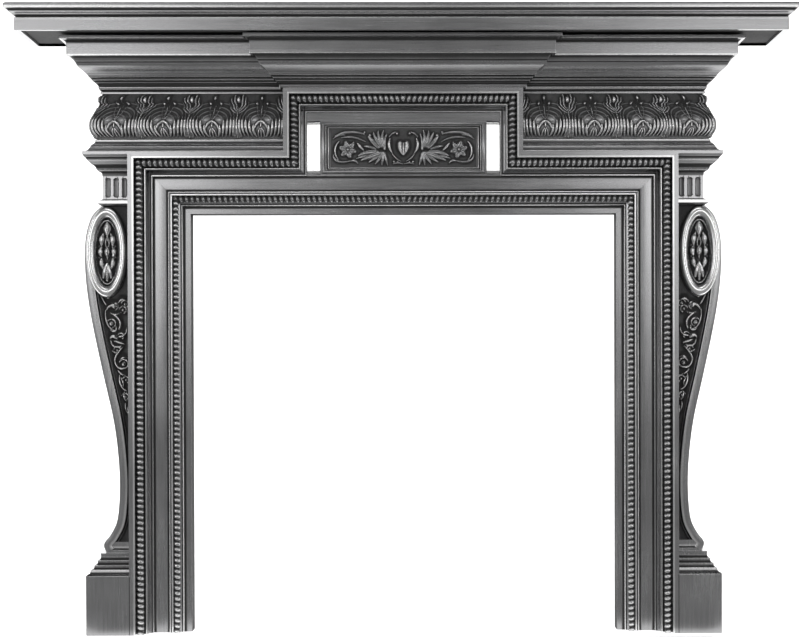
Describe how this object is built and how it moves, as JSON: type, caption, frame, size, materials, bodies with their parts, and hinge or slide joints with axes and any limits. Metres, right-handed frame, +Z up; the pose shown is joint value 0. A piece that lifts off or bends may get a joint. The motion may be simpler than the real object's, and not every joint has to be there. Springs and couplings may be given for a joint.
{
  "type": "fireplace surround",
  "caption": "Polished cast-iron fireplace surround with a moulded shelf, carved frieze and tablet, roped architrave and scroll consoles.",
  "frame": {"origin": "centre of the surround's plan, on the floor it stands on", "axes": "+Z up, +X along the shelf, -Y towards the room; the back lies in the plane Y = +125 mm, against the wall"},
  "size_m": [1.64, 0.25, 1.3192],
  "materials": {
    "shelf_iron": "polished, brushed along its length",
    "header_iron": "polished on the raised faces, black-leaded in the recesses",
    "leg_iron": "polished on the raised faces, black-leaded in the recesses"
  },
  "bodies": {
    "root": {"mantel_shelf": "shelf_iron", "header": "header_iron", "left_leg": "leg_iron", "right_leg": "leg_iron"}
  },
  "joints": []
}
